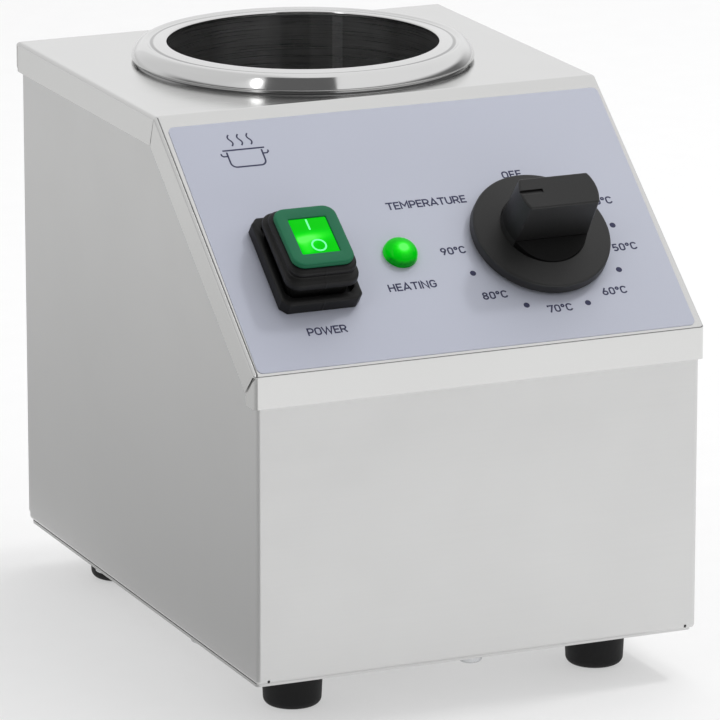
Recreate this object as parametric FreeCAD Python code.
import FreeCAD, Part
import os
import math

V = FreeCAD.Vector
os.makedirs("parts", exist_ok=True)

# ---------------------------------------------------------------------------
# Countertop heated sauce well (nacho cheese dispenser).
# Millimetres, +Z up, front of the housing faces -Y, X = 0 is the middle.
# Origin: centre of the overall footprint, on the surface the feet stand on.
# ---------------------------------------------------------------------------

# housing
BODY_W = 163.5            # outer width of the bent body sheet
BODY_T = 1.0              # body sheet thickness
BODY_Y0 = -109.375        # outer face of the front wall
BODY_Y1 = 107.10          # rear end of the side walls
BODY_Z0 = 17.5            # lower edge of the body sheet
FLANGE_W = 12.0           # inward flanges at the foot of the walls
RETURN_W = 14.75          # inward return flanges at the rear
# cover
COVER_W = 166.0
COVER_T = 1.0
COVER_Y0 = -110.605       # outer face of the front lip
COVER_Y1 = 109.405        # outer face of the rear flange
COVER_TOP = 194.8
COVER_R = 1.6             # outside bend radius
FOLD_Z = 125.3            # fold between front lip and sloped panel
EDGE_Y = -22.925          # fold between sloped panel and top
LIP_Z = 113.6             # lower edge of the front lip
FLANGE_D = 10.9           # depth of the side and rear flanges
# pot opening
POT_X, POT_Y = 0.0, 42.7
HOLE_R = 53.0
# pot
POT_R = 48.4              # inside radius
POT_T = 0.8
POT_FLOOR = 66.0          # underside of the pot
RIM_R = 60.7              # outside radius of the rolled rim
POT_LIFT = 150.0          # stand-in travel used to lift the pot clear
# outer well
WELL_R = 51.6
WELL_T = 0.8
WELL_FLOOR = 63.8         # underside of the outer well
# controls, in panel coordinates (u across, v up the slope, h out of it)
SW_U, SW_V = -51.1, 42.4
LAMP_U, LAMP_V = -15.5, 43.3
KNOB_U, KNOB_V = 36.2, 43.6
KNOB_R = 24.6
KNOB_TOP = 26.5
SHAFT_R = 3.0
SHAFT_CLEAR = 0.05
FOIL_T = 0.25
ROCKER_TILT = 4.0         # tilt of the rocker at rest (on position)
PIVOT_H = 1.2
PIVOT_R = 1.2
# feet
FOOT_X, FOOT_Y = 57.0, 80.5
FOOT_R_TOP, FOOT_R_BOT = 10.7, 10.05
FOOT_H = 16.3
PLATE_Z0, PLATE_Z1 = 16.3, 17.3
# rear
PANEL_Y0, PANEL_Y1 = 107.2, 108.2
INLET_X, INLET_Z = -36.0, 50.0

SLOPE_DY = EDGE_Y - COVER_Y0
SLOPE_DZ = COVER_TOP - FOLD_Z
SLOPE_LEN = math.hypot(SLOPE_DY, SLOPE_DZ)
SV = (SLOPE_DY / SLOPE_LEN, SLOPE_DZ / SLOPE_LEN)
NV = (-SV[1], SV[0])
SLOPE_DEG = math.degrees(math.atan2(SLOPE_DZ, SLOPE_DY))
PANEL = FreeCAD.Placement(V(0, COVER_Y0, FOLD_Z), FreeCAD.Rotation(V(1, 0, 0), SLOPE_DEG))


# ---------------------------------------------------------------------------
# helpers
# ---------------------------------------------------------------------------
def box(x0, x1, y0, y1, z0, z1):
    return Part.makeBox(x1 - x0, y1 - y0, z1 - z0, V(x0, y0, z0))


def cyl(r, x, y, z0, z1):
    return Part.makeCylinder(r, z1 - z0, V(x, y, z0), V(0, 0, 1))


def cyl_x(r, x0, x1, y, z):
    return Part.makeCylinder(r, x1 - x0, V(x0, y, z), V(1, 0, 0))


def cyl_y(r, y0, y1, x, z):
    return Part.makeCylinder(r, y1 - y0, V(x, y0, z), V(0, 1, 0))


def cone(r0, r1, x, y, z0, z1):
    return Part.makeCone(r0, r1, z1 - z0, V(x, y, z0), V(0, 0, 1))


def prism_x(pts, x0, x1):
    wire = Part.makePolygon([V(x0, y, z) for y, z in pts] + [V(x0, pts[0][0], pts[0][1])])
    return Part.Face(wire).extrude(V(x1 - x0, 0, 0))


def prism_z(pts, z0, z1):
    wire = Part.makePolygon([V(x, y, z0) for x, y in pts] + [V(pts[0][0], pts[0][1], z0)])
    return Part.Face(wire).extrude(V(0, 0, z1 - z0))


def edges_where(shape, test):
    out = []
    for e in shape.Edges:
        if len(e.Vertexes) == 2 and test(e.Vertexes[0].Point, e.Vertexes[1].Point):
            out.append(e)
    return out


def fillet_vert(shape, r, test=None):
    es = edges_where(shape, lambda a, b: abs(a.x - b.x) < 1e-6 and abs(a.y - b.y) < 1e-6
                     and abs(a.z - b.z) > 1e-3 and (test is None or test(a, b)))
    return shape.makeFillet(r, es)


def rbox(cx, cy, wx, wy, z0, z1, r):
    return fillet_vert(box(cx - wx / 2, cx + wx / 2, cy - wy / 2, cy + wy / 2, z0, z1), r)


def chamfer_box(cx, cy, wx, wy, z0, z1, c):
    x0, x1, y0, y1 = cx - wx / 2, cx + wx / 2, cy - wy / 2, cy + wy / 2
    return prism_z([(x0 + c, y0), (x1 - c, y0), (x1, y0 + c), (x1, y1 - c),
                    (x1 - c, y1), (x0 + c, y1), (x0, y1 - c), (x0, y0 + c)], z0, z1)


def hexagon(af, x, y, z0, z1, turn=0.0):
    r = af / math.sqrt(3)
    pts = [(x + r * math.cos(math.radians(60 * k + turn)), y + r * math.sin(math.radians(60 * k + turn))) for k in range(6)]
    return prism_z(pts, z0, z1)


def revolve(segs, cx, cy):
    """segs: list of (r, z) points or ('arc', mid, end) going round a closed section."""
    edges = []
    cur = segs[0]
    first = cur
    for s in segs[1:] + [first]:
        if len(s) == 3 and s[0] == 'arc':
            mid, end = s[1], s[2]
            edges.append(Part.Arc(V(cx + cur[0], cy, cur[1]), V(cx + mid[0], cy, mid[1]), V(cx + end[0], cy, end[1])).toShape())
            cur = end
        else:
            if math.hypot(s[0] - cur[0], s[1] - cur[1]) > 1e-6:
                edges.append(Part.LineSegment(V(cx + cur[0], cy, cur[1]), V(cx + s[0], cy, s[1])).toShape())
            cur = s
    face = Part.Face(Part.Wire(edges))
    return face.revolve(V(cx, cy, 0), V(0, 0, 1), 360)


def fuse(first, *rest):
    s = first
    for r in rest:
        s = s.fuse(r)
    return s.removeSplitter()


def cut(first, *rest):
    s = first
    for r in rest:
        s = s.cut(r)
    return s


def on_panel(shape):
    s = shape.copy()
    s.Placement = PANEL.multiply(s.Placement)
    return s


def pp(u, v, h):
    return PANEL.multVec(V(u, v, h))


def group(shapes):
    out = []
    for s in shapes:
        out.extend(s.Solids)
    return Part.makeCompound(out)


SAVED = {}


def save(name, shape):
    solids = shape.Solids
    assert solids, name
    for s in solids:
        assert s.isValid() and s.Volume > 0, name
    if len(solids) == 1:
        out = solids[0]
    else:
        out = Part.makeCompound(solids)
    out.exportStep("parts/%s.step" % name)
    SAVED[name] = out
    bb = out.BoundBox
    print("%-26s solids %2d vol %9.1f  x %.2f %.2f  y %.2f %.2f  z %.2f %.2f" % (
        name, len(solids), out.Volume, bb.XMin, bb.XMax, bb.YMin, bb.YMax, bb.ZMin, bb.ZMax))


def lead(points, r):
    """Round lead along straight runs with tangent arcs as large as the runs allow."""
    pts = [V(*p) if not isinstance(p, FreeCAD.Vector) else p for p in points]
    edges = []
    cur = pts[0]
    for i in range(1, len(pts) - 1):
        a, b, c = pts[i - 1], pts[i], pts[i + 1]
        d0 = b.sub(a)
        d1 = c.sub(b)
        l0, l1 = d0.Length, d1.Length
        d0.normalize()
        d1.normalize()
        turn = d0.getAngle(d1)
        if turn < 1e-3:
            continue
        t = 0.45 * min(l0, l1)
        p0 = b.sub(V(d0).multiply(t))
        p1 = b.add(V(d1).multiply(t))
        rad = t / math.tan(turn / 2)
        bis = V(d1).sub(d0)
        bis.normalize()
        centre = b.add(V(bis).multiply(math.hypot(rad, t)))
        mid = centre.sub(V(bis).multiply(rad))
        if p0.distanceToPoint(cur) > 1e-6:
            edges.append(Part.LineSegment(cur, p0).toShape())
        edges.append(Part.Arc(p0, mid, p1).toShape())
        cur = p1
    edges.append(Part.LineSegment(cur, pts[-1]).toShape())
    path = Part.Wire(edges)
    d = pts[1].sub(pts[0])
    d.normalize()
    prof = Part.Wire([Part.makeCircle(r, pts[0], d)])
    s = path.makePipeShell([prof], True, False)
    return s if s.ShapeType == "Solid" else Part.Solid(s)


def cross_recess(x, y, z_face, depth, half, up):
    """Cross recess cut into a screw head; up = +1 opens upwards, -1 downwards."""
    z0, z1 = (z_face - depth, z_face + 0.5) if up > 0 else (z_face - 0.5, z_face + depth)
    return fuse(box(x - half, x + half, y - 0.45, y + 0.45, z0, z1),
                box(x - 0.45, x + 0.45, y - half, y + half, z0, z1))


def pan_screw(r_head, h_head, r_shank, length, r_dome=0.9):
    """Pan head screw, head above z = 0, shank below; recess on top."""
    head = Part.makeCylinder(r_head, h_head, V(0, 0, 0), V(0, 0, 1))
    top = [e for e in head.Edges if abs(e.BoundBox.ZMin - h_head) < 1e-6 and e.BoundBox.XLength > 1]
    head = head.makeFillet(min(r_dome, h_head * 0.6), top)
    s = fuse(head, Part.makeCylinder(r_shank, length + 0.2, V(0, 0, -length), V(0, 0, 1)))
    return cut(s, cross_recess(0, 0, h_head, h_head * 0.55, r_head * 0.55, 1))


def place(shape, pos, axis):
    s = shape.copy()
    s.Placement = FreeCAD.Placement(V(*pos), FreeCAD.Rotation(V(0, 0, 1), V(*axis))).multiply(s.Placement)
    return s


# ---------------------------------------------------------------------------
# bottom plate, feet and their fasteners
# ---------------------------------------------------------------------------
FEET = {"foot_front_left": (-FOOT_X, -FOOT_Y), "foot_front_right": (FOOT_X, -FOOT_Y),
        "foot_rear_left": (-FOOT_X, FOOT_Y), "foot_rear_right": (FOOT_X, FOOT_Y)}
PLATE_SCREWS = [(0.0, -101.4), (-75.5, -45.0), (75.5, -45.0), (-75.5, 45.0), (75.5, 45.0)]
BLOCK_X, BLOCK_Y = 30.0, -62.0
STUD_X, STUD_Y = -52.0, 30.0

plate = rbox(0, -0.9, 162.2, 212.4, PLATE_Z0, PLATE_Z1, 1.5)
plate = cut(plate, *[cyl(2.2, x, y, 10, 20) for x, y in FEET.values()])
plate = cut(plate, *[cyl(2.1, x, y, 10, 20) for x, y in PLATE_SCREWS])
plate = cut(plate, *[cyl(1.6, BLOCK_X + s * 12.0, BLOCK_Y, 10, 20) for s in (-1, 1)])
plate = cut(plate, cyl(2.0, STUD_X, STUD_Y, 10, 20))
# cooling slots under the electrical compartment
for k in range(5):
    slot = rbox(0, -64.0 + 9.0 * k, 44.0 if k % 2 == 0 else 44.0, 3.0, 10, 20, 1.4)
    slot.translate(V(-22.0, 0, 0))
    plate = cut(plate, slot)
save("bottom_plate", plate)

for name, (x, y) in FEET.items():
    body = revolve([(0.0001, 0.0), (FOOT_R_BOT - 2.6, 0.0),
                    ('arc', (FOOT_R_BOT - 0.72, 0.82), (FOOT_R_BOT, 2.7)),
                    (FOOT_R_TOP, FOOT_H), (0.0001, FOOT_H)], x, y)
    body = cut(body, cyl(4.4, x, y, -1, 8.0), cyl(2.2, x, y, -1, 20))
    save(name, body)

screws = []
nuts = []
for x, y in FEET.values():
    s = pan_screw(3.9, 2.6, 1.95, 15.0)
    screws.append(place(s, (x, y, 8.0), (0, 0, -1)))
    nuts.append(cut(hexagon(7.0, x, y, PLATE_Z1, PLATE_Z1 + 3.2), cyl(2.0, x, y, 10, 30)))
nuts.append(cut(hexagon(7.0, STUD_X, STUD_Y, PLATE_Z1, PLATE_Z1 + 3.2), cyl(2.0, STUD_X, STUD_Y, 10, 40)))
save("foot_screws", group(screws))
save("plate_nuts", group(nuts))

save("bottom_plate_screws", group([place(pan_screw(4.0, 2.5, 1.72, 6.0), (x, y, PLATE_Z0), (0, 0, -1)) for x, y in PLATE_SCREWS]))

# ---------------------------------------------------------------------------
# housing body: one sheet bent round the front and both sides
# ---------------------------------------------------------------------------
def slope_y_at(z, h):
    v = (z - FOLD_Z - h * NV[1]) / SV[1]
    return COVER_Y0 + v * SV[0] + h * NV[0]


def slope_z_at(y, h):
    v = (y - COVER_Y0 - h * NV[0]) / SV[0]
    return FOLD_Z + v * SV[1] + h * NV[1]


BODY_TOP = 193.3
BH = -1.4
bx = BODY_W / 2
outer = prism_x([(BODY_Y0, BODY_Z0), (BODY_Y0, slope_z_at(BODY_Y0, BH)), (slope_y_at(BODY_TOP, BH), BODY_TOP),
                 (BODY_Y1, BODY_TOP), (BODY_Y1, BODY_Z0)], -bx, bx)
vert = edges_where(outer, lambda a, b: abs(a.x - b.x) < 1e-6 and abs(a.y - BODY_Y0) < 1e-6 and abs(b.y - BODY_Y0) < 1e-6)
outer = outer.makeFillet(1.5, vert)
fb = [e for e in outer.Edges if e.BoundBox.ZMax < BODY_Z0 + 1e-3 and e.BoundBox.YMax < BODY_Y0 + 1e-3 and e.BoundBox.XLength > 50]
outer = outer.makeFillet(1.3, fb)
rear_low = [e for e in outer.Edges if e.BoundBox.ZMax < BODY_Z0 + 1e-3 and e.BoundBox.YMin > BODY_Y1 - 1e-3 and e.BoundBox.XLength > 50]
outer = outer.makeFillet(2.0, rear_low)
inner = box(-bx + BODY_T, bx - BODY_T, BODY_Y0 + BODY_T, BODY_Y1 - BODY_T, BODY_Z0 + BODY_T, 260)
inner = fillet_vert(inner, 0.5)
body = cut(outer, inner)
body = cut(body, box(-bx + RETURN_W + BODY_T, bx - RETURN_W - BODY_T, 100, 110, BODY_Z0 + BODY_T, 260))
body = cut(body, box(-bx + FLANGE_W, bx - FLANGE_W, BODY_Y0 + FLANGE_W, 110, BODY_Z0 - 1, BODY_Z0 + BODY_T + 0.001))
# bend relief notches at the two front corners
for s in (-1, 1):
    xa, xb = sorted((s * (bx - 4.5), s * (bx - 3.6)))
    body = cut(body, box(xa, xb, BODY_Y0 - 1, BODY_Y0 + 4.5, BODY_Z0 - 1, BODY_Z0 + 1.5))
COVER_SCREWS = [(-73.5, 189.2), (73.5, 189.2)]
PANEL_SCREWS = [(sx * 73.5, z) for sx in (-1, 1) for z in (30.0, 104.0, 172.0)]
for x, z in COVER_SCREWS + PANEL_SCREWS:
    body = cut(body, cyl_y(1.5, 100, 112, x, z))
for x, y in PLATE_SCREWS:
    body = cut(body, cyl(1.77, x, y, 16, 20))
save("housing_body", body)

# ---------------------------------------------------------------------------
# rear panel, power inlet
# ---------------------------------------------------------------------------
rear = box(-81.1, 81.1, PANEL_Y0, PANEL_Y1, 18.7, 192.9)
hor = edges_where(rear, lambda a, b: abs(a.x - b.x) < 1e-6 and abs(a.z - b.z) < 1e-6)
rear = rear.makeFillet(1.8, hor)
for x, z in COVER_SCREWS + PANEL_SCREWS:
    rear = cut(rear, cyl_y(1.75, 100, 112, x, z))
rear = cut(rear, box(INLET_X - 13.75, INLET_X + 13.75, 100, 112, INLET_Z - 10.1, INLET_Z + 10.1))
for s in (-1, 1):
    rear = cut(rear, cyl_y(1.65, 100, 112, INLET_X + s * 20.0, INLET_Z))
# two rows of cooling slots
for zz in (146.0, 154.0):
    for k in range(6):
        xs = -50.0 + 20.0 * k
        sl = box(xs - 6.0, xs + 6.0, 100, 112, zz - 1.5, zz + 1.5)
        es = edges_where(sl, lambda a, b: abs(a.x - b.x) < 1e-6 and abs(a.z - b.z) < 1e-6)
        rear = cut(rear, sl.makeFillet(1.45, es))
save("rear_panel", rear)

save("rear_panel_screws", group([place(pan_screw(3.3, 1.8, 1.45, 5.5), (x, PANEL_Y1, z), (0, 1, 0)) for x, z in PANEL_SCREWS]))

flange = box(INLET_X - 25.0, INLET_X + 25.0, PANEL_Y1, PANEL_Y1 + 2.0, INLET_Z - 11.3, INLET_Z + 11.3)
fe = edges_where(flange, lambda a, b: abs(a.x - b.x) < 1e-6 and abs(a.z - b.z) < 1e-6)
flange = flange.makeFillet(5.0, fe)
fe = [e for e in flange.Edges if e.BoundBox.YMin > PANEL_Y1 + 1.999]
flange = flange.makeFillet(0.5, fe)
shell = box(INLET_X - 13.5, INLET_X + 13.5, 84.0, PANEL_Y1 + 0.5, INLET_Z - 9.85, INLET_Z + 9.85)
inlet = fuse(flange, shell)
ix, iz = INLET_X, INLET_Z
cav = Part.Face(Part.makePolygon([V(ix + a, 91.0, iz + b) for a, b in
                                  ((-11.9, -7.9), (11.9, -7.9), (11.9, 4.2), (8.1, 7.9), (-8.1, 7.9), (-11.9, 4.2), (-11.9, -7.9))])).extrude(V(0, 30, 0))
inlet = cut(inlet, cav)
PINS = [(ix - 7.0, iz - 0.6), (ix + 7.0, iz - 0.6), (ix, iz + 3.4)]
for x, z in PINS:
    inlet = cut(inlet, box(x - 1.03, x + 1.03, 83, 92, z - 2.03, z + 2.03))
for s in (-1, 1):
    inlet = cut(inlet, cyl_y(1.6, 100, 112, ix + s * 20.0, iz))
    c = Part.makeCone(1.6, 3.05, 1.45, V(ix + s * 20.0, PANEL_Y1 + 0.55, iz), V(0, 1, 0))
    inlet = cut(inlet, c)
save("inlet_housing", inlet)

pins = []
for x, z in PINS:
    p = box(x - 1.0, x + 1.0, 77.0, 104.6, z - 2.0, z + 2.0)
    tip = [e for e in p.Edges if e.BoundBox.YMin > 104.59]
    pins.append(p.makeChamfer(0.5, tip))
save("inlet_pins", group(pins))

iscr = []
inut = []
for s in (-1, 1):
    x = ix + s * 20.0
    c = fuse(Part.makeCone(1.5, 2.95, 1.45, V(x, PANEL_Y1 + 0.55, iz), V(0, 1, 0)), cyl_y(1.5, 101.5, PANEL_Y1 + 0.6, x, iz))
    rec = fuse(box(x - 1.6, x + 1.6, PANEL_Y1 + 1.1, PANEL_Y1 + 3, iz - 0.35, iz + 0.35), box(x - 0.35, x + 0.35, PANEL_Y1 + 1.1, PANEL_Y1 + 3, iz - 1.6, iz + 1.6))
    iscr.append(cut(c, rec))
    n = cut(hexagon(5.5, 0, 0, 0, 2.4), Part.makeCylinder(1.55, 5, V(0, 0, -1), V(0, 0, 1)))
    inut.append(place(n, (x, PANEL_Y0, iz), (0, -1, 0)))
save("inlet_screws", group(iscr))
save("inlet_nuts", group(inut))

# ---------------------------------------------------------------------------
# top cover: top plate, sloped panel, lip and flanges from one sheet
# ---------------------------------------------------------------------------
def pv(v, h):
    return (COVER_Y0 + v * SV[0] + h * NV[0], FOLD_Z + v * SV[1] + h * NV[1])


cx = COVER_W / 2
flange_z = COVER_TOP - FLANGE_D
corner_in = (slope_y_at(flange_z, -FLANGE_D), flange_z)
skin = prism_x([(COVER_Y0, LIP_Z), (COVER_Y0, FOLD_Z), (EDGE_Y, COVER_TOP), (COVER_Y1, COVER_TOP), (COVER_Y1, flange_z),
                corner_in, pv(1.8, -FLANGE_D), pv(0.75, -12.0), (-103.6, LIP_Z)], -cx, cx)


def is_pt(p, yz):
    return abs(p.y - yz[0]) < 1e-4 and abs(p.z - yz[1]) < 1e-4


KEY = [(COVER_Y0, LIP_Z), (COVER_Y0, FOLD_Z), (EDGE_Y, COVER_TOP), (COVER_Y1, COVER_TOP), (COVER_Y1, flange_z)]
sel = []
for e in skin.Edges:
    a, b = e.Vertexes[0].Point, e.Vertexes[1].Point
    ia = [i for i, k in enumerate(KEY) if is_pt(a, k)]
    ib = [i for i, k in enumerate(KEY) if is_pt(b, k)]
    if not ia or not ib:
        continue
    ia, ib = ia[0], ib[0]
    if ia == ib and ia in (1, 2, 3):
        sel.append(e)                       # folds across the sheet
    elif sorted((ia, ib)) in ([0, 1], [1, 2], [2, 3]):
        sel.append(e)                       # long side bends and front corners
skin = skin.makeFillet(COVER_R, sel)

ri = COVER_R - COVER_T
yin0, yin1 = COVER_Y0 + COVER_T, COVER_Y1 - COVER_T
ztop = COVER_TOP - COVER_T
hollow = prism_x([(yin0, 60.0), (yin0, slope_z_at(yin0, -COVER_T)), (slope_y_at(ztop, -COVER_T), ztop), (yin1, ztop), (yin1, 60.0)],
                 -cx + COVER_T, cx - COVER_T)
hk = [(yin0, 60.0), (yin0, slope_z_at(yin0, -COVER_T)), (slope_y_at(ztop, -COVER_T), ztop), (yin1, ztop), (yin1, 60.0)]
sel = []
for e in hollow.Edges:
    a, b = e.Vertexes[0].Point, e.Vertexes[1].Point
    ia = [i for i, k in enumerate(hk) if is_pt(a, k)]
    ib = [i for i, k in enumerate(hk) if is_pt(b, k)]
    if ia and ib:
        ia, ib = ia[0], ib[0]
        if (ia == ib and ia in (1, 2, 3)) or sorted((ia, ib)) in ([0, 1], [1, 2], [2, 3]):
            sel.append(e)
hollow = hollow.makeFillet(ri, sel)
cover = cut(skin, hollow)
# seams between neighbouring flanges, and the bend relief at the fold corners
dx, dz = corner_in[0] - EDGE_Y, corner_in[1] - COVER_TOP
dl = math.hypot(dx, dz)
ux, uz = dx / dl, dz / dl
px, pz = -uz, ux
seam = [(EDGE_Y + ux * 1.5 + px * 0.10, COVER_TOP + uz * 1.5 + pz * 0.10), (EDGE_Y + ux * 1.5 - px * 0.10, COVER_TOP + uz * 1.5 - pz * 0.10),
        (EDGE_Y + ux * 14 - px * 0.22, COVER_TOP + uz * 14 - pz * 0.22), (EDGE_Y + ux * 14 + px * 0.22, COVER_TOP + uz * 14 + pz * 0.22)]
slit = [pv(-0.15, -0.9), pv(0.75, -1.5), pv(1.8, -FLANGE_D), pv(1.9, -14.0), pv(0.95, -14.0), pv(0.75, -12.0), pv(-0.42, -1.7)]
for sgn in (-1, 1):
    x0, x1 = sorted((sgn * (cx - 1.9), sgn * (cx + 1.0)))
    cover = cut(cover, prism_x(seam, x0, x1), prism_x(slit, x0, x1))
    x0, x1 = sorted((sgn * (cx - 1.3), sgn * (cx + 1.0)))
    cover = cut(cover, box(x0, x1, COVER_Y1 - 1.22, COVER_Y1 - 1.0, flange_z - 1, COVER_TOP - 1.5))
# rounded lower corners of the rear flange
for sgn in (-1, 1):
    blk = box(min(sgn * (cx - 2.2), sgn * cx), max(sgn * (cx - 2.2), sgn * cx), COVER_Y1 - 0.99, COVER_Y1 + 0.5, flange_z, flange_z + 2.2)
    keep = cyl_y(2.2, COVER_Y1 - 1.5, COVER_Y1 + 1.0, sgn * (cx - 2.2), flange_z + 2.2)
    cover = cut(cover, cut(blk, keep))
cover = cut(cover, cyl(HOLE_R, POT_X, POT_Y, 185, 200))
cutouts = [box(SW_U - 12.3, SW_U + 12.3, SW_V - 15.8, SW_V + 15.8, -4, 4), cyl(5.15, LAMP_U, LAMP_V, -4, 4),
           cyl(5.15, KNOB_U, KNOB_V, -4, 4), cyl(2.15, KNOB_U - 14, KNOB_V, -4, 4), cyl(2.15, KNOB_U + 14, KNOB_V, -4, 4)]
for c in cutouts:
    cover = cut(cover, on_panel(c))
for x, z in COVER_SCREWS:
    cover = cut(cover, cyl_y(1.8, 105, 112, x, z))
save("top_cover", cover)

save("cover_screws", group([place(pan_screw(3.3, 1.2, 1.45, 6.0, 0.6), (x, COVER_Y1, z), (0, 1, 0)) for x, z in COVER_SCREWS]))

# ---------------------------------------------------------------------------
# printed control foil, stuck slightly askew on the sloped panel
# ---------------------------------------------------------------------------
foil = prism_z([(-81.3, 0.75), (79.9, 0.75), (81.2, 106.1), (-79.9, 106.4)], 0.0, FOIL_T)
foil = fillet_vert(foil, 2.2)
foil = cut(foil, box(SW_U - 12.4, SW_U + 12.4, SW_V - 15.9, SW_V + 15.9, -1, 1), cyl(5.3, LAMP_U, LAMP_V, -1, 1),
           cyl(5.3, KNOB_U, KNOB_V, -1, 1), cyl(4.3, KNOB_U - 14, KNOB_V, -1, 1), cyl(4.3, KNOB_U + 14, KNOB_V, -1, 1))
save("control_foil", on_panel(foil))

# ---------------------------------------------------------------------------
# pot with rolled rim
# ---------------------------------------------------------------------------
T = COVER_TOP
ro = POT_R + POT_T
# rim: small lip, band falling outwards, valley, then a face that rolls over and down to a
# narrow edge above the cover; a collar inside that edge stands on the cover
FACE = [(55.9, T + 6.66), (56.7, T + 6.5), (57.6, T + 6.05), (58.5, T + 5.35), (59.3, T + 4.5), (59.95, T + 3.5), (60.4, T + 2.6), (RIM_R, T + 1.85)]
pot = revolve([(0.0001, POT_FLOOR), (ro - 7.0, POT_FLOOR), ('arc', (ro - 7.0 * (1 - math.sin(math.radians(45))), POT_FLOOR + 7.0 * (1 - math.cos(math.radians(45)))), (ro, POT_FLOOR + 7.0)),
               (ro, T + 5.2), ('arc', (ro + 0.2, T + 5.65), (ro + 0.6, T + 5.8)), (54.6, T + 5.3), (55.6, T + 5.75), (56.6, T + 5.55), (57.6, T + 4.7), (58.0, T + 4.0),
               (58.0, T + 0.1), (58.8, T + 0.1), (58.8, T + 1.05), (60.15, T + 1.05), ('arc', (60.55, T + 1.3), FACE[-1])]
              + FACE[-2::-1]
              + [(55.2, T + 6.45), (54.6, T + 5.98), (54.2, T + 5.95), (49.0, T + 6.65), ('arc', (POT_R + 0.176, T + 6.474), (POT_R, T + 6.05)),
                 (POT_R, POT_FLOOR + POT_T + 6.2), ('arc', (POT_R - 6.2 * (1 - math.sin(math.radians(45))), POT_FLOOR + POT_T + 6.2 * (1 - math.cos(math.radians(45)))), (POT_R - 6.2, POT_FLOOR + POT_T)),
                 (0.0001, POT_FLOOR + POT_T)], POT_X, POT_Y)
save("inner_pot", pot)

# ---------------------------------------------------------------------------
# outer well hung from weld studs under the cover
# ---------------------------------------------------------------------------
wo = WELL_R + WELL_T
WZ = COVER_TOP - COVER_T
well = revolve([(0.0001, WELL_FLOOR), (wo - 6.0, WELL_FLOOR), ('arc', (wo - 6.0 * (1 - math.sin(math.radians(45))), WELL_FLOOR + 6.0 * (1 - math.cos(math.radians(45)))), (wo, WELL_FLOOR + 6.0)),
                (wo, WZ - WELL_T), (58.0, WZ - WELL_T), (58.0, WZ), (WELL_R, WZ),
                (WELL_R, WELL_FLOOR + WELL_T + 5.2), ('arc', (WELL_R - 5.2 * (1 - math.sin(math.radians(45))), WELL_FLOOR + WELL_T + 5.2 * (1 - math.cos(math.radians(45)))), (WELL_R - 5.2, WELL_FLOOR + WELL_T)),
                (0.0001, WELL_FLOOR + WELL_T)], POT_X, POT_Y)
STUDS = []
for k in range(4):
    a = math.radians(45 + 90 * k)
    c, s = math.cos(a), math.sin(a)
    STUDS.append((POT_X + 61.5 * c, POT_Y + 61.5 * s))
    ear = fuse(cyl(6.5, POT_X + 61.5 * c, POT_Y + 61.5 * s, WZ - WELL_T, WZ))
    arm = prism_z([(POT_X + 55 * c - 6.5 * s, POT_Y + 55 * s + 6.5 * c), (POT_X + 55 * c + 6.5 * s, POT_Y + 55 * s - 6.5 * c),
                   (POT_X + 61.5 * c + 6.5 * s, POT_Y + 61.5 * s - 6.5 * c), (POT_X + 61.5 * c - 6.5 * s, POT_Y + 61.5 * s + 6.5 * c)], WZ - WELL_T, WZ)
    well = fuse(well, ear, arm)
    well = cut(well, cyl(2.15, POT_X + 61.5 * c, POT_Y + 61.5 * s, 180, 200))
# two blind bosses for the thermal cut-out
for s in (-1, 1):
    boss = cyl(3.2, POT_X + s * 12.0, POT_Y, WELL_FLOOR - 5.0, WELL_FLOOR + 0.4)
    well = fuse(well, boss)
    well = cut(well, cyl(1.5, POT_X + s * 12.0, POT_Y, WELL_FLOOR - 6.0, WELL_FLOOR - 0.2))
save("outer_well", well)
save("well_studs", group([cyl(1.95, x, y, WZ - 9.0, WZ) for x, y in STUDS]))
save("well_nuts", group([cut(hexagon(7.0, x, y, WZ - WELL_T - 3.2, WZ - WELL_T), cyl(2.0, x, y, 180, 200)) for x, y in STUDS]))

# band heater, open at the front
def ring_sector(r0, r1, z0, z1, gap_deg):
    ring = cut(cyl(r1, POT_X, POT_Y, z0, z1), cyl(r0, POT_X, POT_Y, z0 - 1, z1 + 1))
    g = math.radians(gap_deg)
    R = r1 * 1.6
    wedge = prism_z([(POT_X, POT_Y), (POT_X - R * math.sin(g), POT_Y - R * math.cos(g)), (POT_X + R * math.sin(g), POT_Y - R * math.cos(g))], z0 - 1, z1 + 1)
    return cut(ring, wedge)


band = ring_sector(wo + 0.05, 55.5, 84.0, 150.0, 8.5)
for s in (-1, 1):
    xa, xb = sorted((s * 8.4, s * 10.2))
    lug = box(xa, xb, POT_Y - 62.5, POT_Y - 54.0, 85.0, 94.0)
    lug = cut(lug, cyl_x(1.7, xa - 1, xb + 1, POT_Y - 59.0, 89.5))
    band = fuse(band, lug)
save("band_heater", band)
cs = fuse(cyl_x(1.6, -10.2, 15.0, POT_Y - 59.0, 89.5), cyl_x(3.0, -12.4, -10.2, POT_Y - 59.0, 89.5))
cn = cut(place(hexagon(5.5, 0, 0, 0, 2.4), (10.2, POT_Y - 59.0, 89.5), (1, 0, 0)), cyl_x(1.6, 5, 20, POT_Y - 59.0, 89.5))
save("heater_clamp_screw", cs)
cn = cut(cn, cyl_x(1.65, 5, 20, POT_Y - 59.0, 89.5))
save("heater_clamp_nut", cn)
save("insulation_sleeve", ring_sector(55.7, 62.0, 96.0, 178.0, 15.5))

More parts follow.
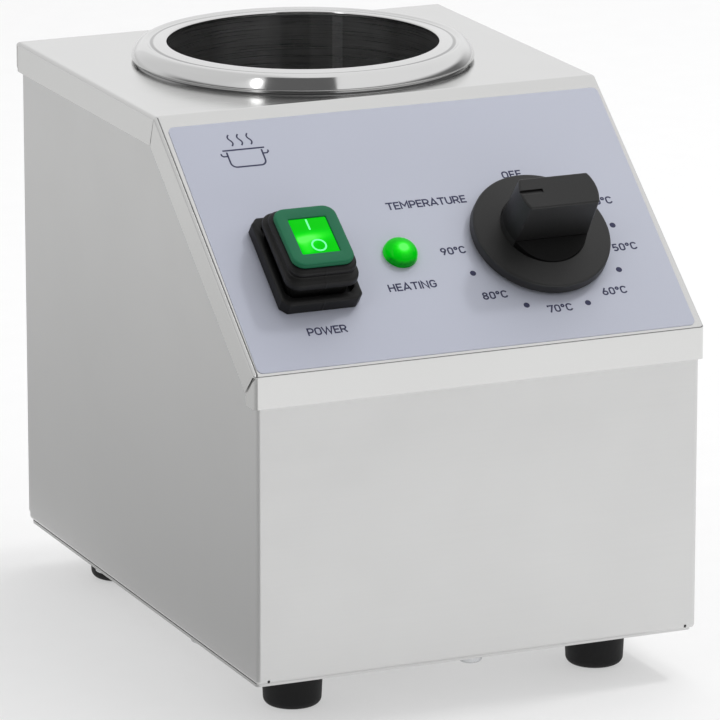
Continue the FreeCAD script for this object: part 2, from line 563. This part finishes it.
# thermal cut-out under the well
cut_z = WELL_FLOOR - 5.0
cutout = fuse(cyl(7.6, POT_X, POT_Y, cut_z, WELL_FLOOR - 0.05),
              fillet_vert(box(POT_X - 15.5, POT_X + 15.5, POT_Y - 3.6, POT_Y + 3.6, cut_z - 0.8, cut_z), 3.0),
              cyl(8.0, POT_X, POT_Y, cut_z - 8.0, cut_z))
for s in (-1, 1):
    cutout = cut(cutout, cyl(1.7, POT_X + s * 12.0, POT_Y, cut_z - 2, cut_z + 1))
save("thermal_cutout", cutout)
save("cutout_screws", group([place(pan_screw(2.8, 1.8, 1.45, 5.0), (POT_X + s * 12.0, POT_Y, cut_z - 0.8), (0, 0, -1)) for s in (-1, 1)]))
save("cutout_terminals", group([box(POT_X - 3.15, POT_X + 3.15, POT_Y + s * 4.0 - 0.4, POT_Y + s * 4.0 + 0.4, cut_z - 15.0, cut_z - 8.0) for s in (-1, 1)]))

# ---------------------------------------------------------------------------
# rocker switch (panel coordinates)
# ---------------------------------------------------------------------------
su, sv = SW_U, SW_V
hous = fuse(box(su - 12.1, su + 12.1, sv - 15.6, sv + 15.6, -25.0, 2.3), rbox(su, sv, 27.2, 35.6, FOIL_T, 2.3, 2.0))
hous = cut(hous, box(su - 10.2, su + 10.2, sv - 13.7, sv + 13.7, -11.0, 5.0))
hous = cut(hous, cyl_x(PIVOT_R + 0.01, su - 11.1, su + 11.1, sv, PIVOT_H))
save("switch_housing", on_panel(hous))

frame = chamfer_box(su, sv, 29.4, 37.9, FOIL_T, 5.2, 2.3)
topo = [e for e in frame.Edges if e.BoundBox.ZMin > 5.19]
frame = frame.makeFillet(0.7, topo)
frame = cut(frame, rbox(su, sv, 27.3, 35.7, 0.0, 2.35, 2.0), rbox(su, sv, 24.6, 32.0, 0, 8, 3.6))
save("switch_boot_frame", on_panel(frame))

# black bellows between the housing and the cap: stacked tiers, hollow inside, the neck set back in the frame
bel = rbox(su, sv, 22.6, 29.0, 2.3, 8.0, 3.6)
for w, l, z0, z1, r in ((26.6, 33.0, 8.0, 10.7, 4.6), (23.8, 28.6, 10.7, 12.0, 4.2), (24.6, 29.2, 12.0, 13.3, 4.4)):
    bel = fuse(bel, rbox(su, sv, w, l, z0, z1, r))
bel = cut(bel, rbox(su, sv, 20.4, 25.4, 2.0, 14.0, 3.0), box(su - 12, su + 12, sv - 1.6, sv + 1.6, 2.0, 2.8))
save("switch_boot_bellows", on_panel(bel))

save("switch_pivot_pin", on_panel(cyl_x(PIVOT_R, su - 11.0, su + 11.0, sv, PIVOT_H)))


def tilt(shape):
    s = shape.copy()
    s.rotate(V(su, sv, PIVOT_H), V(1, 0, 0), -ROCKER_TILT)
    return on_panel(s)


cap = rbox(su, sv, 22.5, 26.0, 14.4, 16.1, 4.2)
tops = [e for e in cap.Edges if e.BoundBox.ZMin > 16.09]
cap = cap.makeFillet(0.7, tops)
cap = cut(cap, box(su - 6.8, su + 6.8, sv - 7.9, sv + 7.9, 10, 20))
save("switch_cap", tilt(cap))
lens = box(su - 6.75, su + 6.75, sv - 7.85, sv + 7.85, 13.5, 15.9)
save("rocker_lens", tilt(lens))
rock = fuse(rbox(su, sv, 17.4, 21.0, 11.5, 13.5, 2.5), box(su - 5.5, su + 5.5, sv - 6.0, sv + 6.0, -1.8, 11.6),
            cyl_x(3.0, su - 5.5, su + 5.5, sv, PIVOT_H))
rock = fuse(rock, rbox(su, sv, 17.4, 21.0, 13.4, 14.4, 2.5))
rock = cut(rock, box(su - 6.8, su + 6.8, sv - 7.9, sv + 7.9, 13.5, 15.0))
rock = cut(rock, cyl_x(PIVOT_R + 0.05, su - 12, su + 12, sv, PIVOT_H))
save("switch_rocker", tilt(rock))
save("switch_lamp", on_panel(fuse(cyl(1.9, su, sv + 10.2, -11.0, -4.5), Part.makeSphere(1.9, V(su, sv + 10.2, -4.5)))))
SWT = [(su - 6.0, sv - 9.0), (su + 6.0, sv - 9.0), (su - 6.0, sv + 9.0), (su + 6.0, sv + 9.0)]
save("switch_terminals", group([on_panel(box(u - 3.15, u + 3.15, v - 0.4, v + 0.4, -33.0, -25.0)) for u, v in SWT]))

# ---------------------------------------------------------------------------
# pilot lamp
# ---------------------------------------------------------------------------
lu, lv = LAMP_U, LAMP_V
lens = revolve([(0.0001, FOIL_T), (6.05, FOIL_T), (6.05, 0.95), ('arc', (5.98, 1.3), (5.75, 1.65)),
                ('arc', (3.55, 4.0), (0.0001, 4.9))], lu, lv)
save("pilot_lens", on_panel(lens))
save("pilot_body", on_panel(fuse(cyl(4.9, lu, lv, -12.0, FOIL_T), cyl(4.0, lu, lv, -15.0, -12.0))))
save("pilot_nut", on_panel(cut(hexagon(13.0, lu, lv, -4.2, -1.0), cyl(4.95, lu, lv, -10, 1))))
save("pilot_terminals", group([on_panel(box(lu + s * 2.2 - 0.25, lu + s * 2.2 + 0.25, lv - 1.4, lv + 1.4, -22.0, -15.0)) for s in (-1, 1)]))

# ---------------------------------------------------------------------------
# thermostat and knob
# ---------------------------------------------------------------------------
ku, kv = KNOB_U, KNOB_V
ts = fuse(rbox(ku, kv, 40.0, 30.0, -27.0, -1.05, 2.0), cyl(4.9, ku, kv, -2.0, 0.9))
ts = cut(ts, cyl(SHAFT_R + SHAFT_CLEAR, ku, kv, -12.6, 3.0))
for s in (-1, 1):
    ts = cut(ts, cyl(1.98, ku + s * 14, kv, -9.5, 0))
save("thermostat_body", on_panel(ts))
save("thermostat_screws", group([on_panel(place(pan_screw(3.8, 2.0, 1.93, 8.5), (ku + s * 14, kv, 0.0), (0, 0, 1))) for s in (-1, 1)]))
save("thermostat_terminals", group([on_panel(box(ku + s * 9.0 - 3.15, ku + s * 9.0 + 3.15, kv - 8.0 - 0.4, kv - 8.0 + 0.4, -35.0, -27.0)) for s in (-1, 1)]))

shaft = cyl(SHAFT_R, ku, kv, -12.5, 19.5)
shaft = cut(shaft, box(ku - 5, ku + 5, kv + 1.6, kv + 5, 7.0, 20.0))
save("thermostat_shaft", on_panel(shaft))

skirt = revolve([(0.0001, 1.3), (KNOB_R - 0.25, 1.3), (KNOB_R, 1.6), (KNOB_R - 0.15, 4.3), ('arc', (KNOB_R - 0.4, 4.95), (KNOB_R - 1.1, 5.25)), (15.2, 6.4), (0.0001, 6.4)], ku, kv)
grip = cut(cone(15.2, 14.2, ku, kv, 5.0, KNOB_TOP),
           box(ku - 30, ku + 30, kv + 6.5, kv + 30, 0, 40), box(ku - 30, ku + 30, kv - 30, kv - 6.5, 0, 40))
ve = [e for e in grip.Edges if e.BoundBox.ZLength > 10 and e.BoundBox.YLength < 1.0 and e.BoundBox.XLength < 4.0]
grip = grip.makeFillet(0.9, ve)
te = [e for e in grip.Edges if e.BoundBox.ZMin > KNOB_TOP - 0.01]
grip = grip.makeFillet(0.7, te)
# low shoulders on both sides of the grip
shoulder = Part.Face(Part.makePolygon([V(ku - 20, kv - 15.0, 6.0), V(ku - 20, kv + 15.0, 6.0), V(ku - 20, kv + 15.0, 6.65), V(ku - 20, kv + 6.7, 9.0), V(ku - 20, kv - 6.7, 9.0), V(ku - 20, kv - 15.0, 6.65), V(ku - 20, kv - 15.0, 6.0)])).extrude(V(40, 0, 0))
shoulder = shoulder.common(cyl(14.9, ku, kv, 0, 20))
knob = fuse(skirt, grip, shoulder)
under = revolve([(6.2, 0.0), (23.3, 0.0), (23.3, 3.4), (21.0, 3.9), (6.2, 4.6)], ku, kv)
knob = cut(knob, under)
knob = cut(knob, cut(cyl(7.0, ku, kv, 0.0, 4.6), cyl(4.8, ku, kv, 0.0, 5.0)))
bore = cut(cyl(SHAFT_R + 0.03, ku, kv, 0.0, 19.8), box(ku - 5, ku + 5, kv + 1.63, kv + 5, 7.0, 21.0))
knob = cut(knob, bore)
# wedge-shaped pointer notch, open at one end of the grip
notch = Part.Face(Part.makePolygon([V(ku - 20, kv + 1.5, KNOB_TOP - 0.8), V(ku - 20, kv + 1.5, KNOB_TOP + 1), V(ku - 20, kv - 0.5, KNOB_TOP + 1), V(ku - 20, kv - 0.5, KNOB_TOP), V(ku - 20, kv + 1.5, KNOB_TOP - 0.8)])).extrude(V(20 - 5.8, 0, 0))
knob = cut(knob, notch)
save("knob", on_panel(knob))
clip = cut(cyl(5.45, ku, kv, 2.0, 3.4), cyl(4.82, ku, kv, 1.0, 4.0), box(ku - 1.5, ku + 1.5, kv - 8, kv, 1.0, 4.0))
save("knob_spring_clip", on_panel(clip))

# bulb in the gap of the band heater, and the capillary to it
BULB_Y = POT_Y - wo - 2.95
bulb = cyl(2.9, POT_X, BULB_Y, 100.0, 160.0)
be = [e for e in bulb.Edges if e.BoundBox.ZLength < 1e-6]
save("thermostat_bulb", bulb.makeFillet(1.2, be))
a = pp(ku - 12.0, kv + 6.0, -27.0)
b = pp(ku - 12.0, kv + 6.0, -38.0)
capil = lead([a, b, (16.0, -44.0, 150.0), (6.0, -30.0, 172.0), (0.0, BULB_Y, 176.0), (0.0, BULB_Y, 160.02)], 0.8)
save("capillary_tube", capil)

# ---------------------------------------------------------------------------
# terminal block, earth stud, internal leads
# ---------------------------------------------------------------------------
blk = rbox(BLOCK_X, BLOCK_Y, 32.0, 18.0, PLATE_Z1, PLATE_Z1 + 14.0, 1.0)
blk = cut(blk, rbox(BLOCK_X, BLOCK_Y, 36.0, 8.0, PLATE_Z1 + 11.0, PLATE_Z1 + 20.0, 0.5))
for s in (-1, 1):
    blk = cut(blk, cyl(1.6, BLOCK_X + s * 12.0, BLOCK_Y, 0, 60))
save("terminal_block", blk)
save("terminal_block_screws", group([place(pan_screw(2.8, 1.9, 1.5, 11.6), (BLOCK_X + s * 12.0, BLOCK_Y, PLATE_Z1 + 11.0), (0, 0, 1)) for s in (-1, 1)]))
save("earth_stud", cyl(1.95, STUD_X, STUD_Y, PLATE_Z0 + 0.1, 30.0))

LR = 1.1
GAP = 0.03
d = V(0, -NV[0], -NV[1])                  # straight back from the panel


def off(p, k):
    return p.add(V(d).multiply(k))


e1 = [(PINS[0][0], 77.0 - k, PINS[0][1]) for k in (GAP, 12.0)]
e2 = [(PINS[1][0], 77.0 - k, PINS[1][1]) for k in (GAP, 12.0)]
e3 = [(PINS[2][0], 77.0 - k, PINS[2][1]) for k in (GAP, 9.0)]
s0 = pp(SWT[0][0], SWT[0][1], -33.0)
s1 = pp(SWT[1][0], SWT[1][1], -33.0)
by = BLOCK_Y + 9.0 + GAP
# live: inlet to switch, along the left wall
save("lead_live", lead(e1 + [(-66.0, 54.0, 44.0), (-72.5, 22.0, 42.0), (-72.0, -16.0, 58.0), (-66.0, -44.0, 86.0), off(s0, 12), off(s0, GAP)], LR))
# neutral: inlet to terminal block, low across the plate
save("lead_neutral", lead(e2 + [(-24.0, 44.0, 32.0), (-12.0, 14.0, 25.0), (4.0, -16.0, 24.0), (BLOCK_X - 4.0, by + 14.0, 25.0), (BLOCK_X - 4.0, by, 25.0)], LR))
# earth: inlet to stud
save("lead_earth", lead(e3 + [(-44.0, 52.0, 51.0), (STUD_X + 2.0, 38.0, 48.0), (STUD_X, STUD_Y, 43.0), (STUD_X, STUD_Y, 30.0 + GAP)], LR))
# switched live: switch to thermostat
t0 = pp(ku - 9.0, kv - 8.0, -35.0)
t1 = pp(ku + 9.0, kv - 8.0, -35.0)
save("lead_switched", lead([off(s1, GAP), off(s1, 12), (-30.0, -60.0, 96.0), (0.0, -60.0, 92.0), off(t0, 12), off(t0, GAP)], LR))
# thermostat to band heater
save("lead_heater", lead([off(t1, GAP), off(t1, 11), (44.0, -44.0, 98.0), (34.0, -28.0, 92.0), (26.0, -14.0, 90.0), (22.0, -8.55, 89.0)], LR))
# cut-out to terminal block
save("lead_cutout", lead([(POT_X, POT_Y - 4.0, cut_z - 15.0 - GAP), (POT_X, POT_Y - 4.0, cut_z - 24.0), (8.0, 18.0, 29.0), (22.0, -10.0, 27.0), (BLOCK_X + 5.0, by + 16.0, 25.0), (BLOCK_X + 5.0, by, 25.0)], LR))
# pilot lamp to terminal block
p0 = pp(lu + 2.2, lv, -22.0)
by2 = BLOCK_Y - 9.0 - GAP
save("lead_pilot", lead([off(p0, GAP), off(p0, 10), (-13.0, -78.0, 86.0), (4.0, -92.0, 56.0), (BLOCK_X - 6.0, by2 - 14.0, 25.0), (BLOCK_X - 6.0, by2, 25.0)], LR * 0.8))

print(len(SAVED), "nodes")
tot = FreeCAD.BoundBox()
for s in SAVED.values():
    tot.add(s.BoundBox)
print("overall x %.3f %.3f  y %.3f %.3f  z %.3f %.3f" % (tot.XMin, tot.XMax, tot.YMin, tot.YMax, tot.ZMin, tot.ZMax))
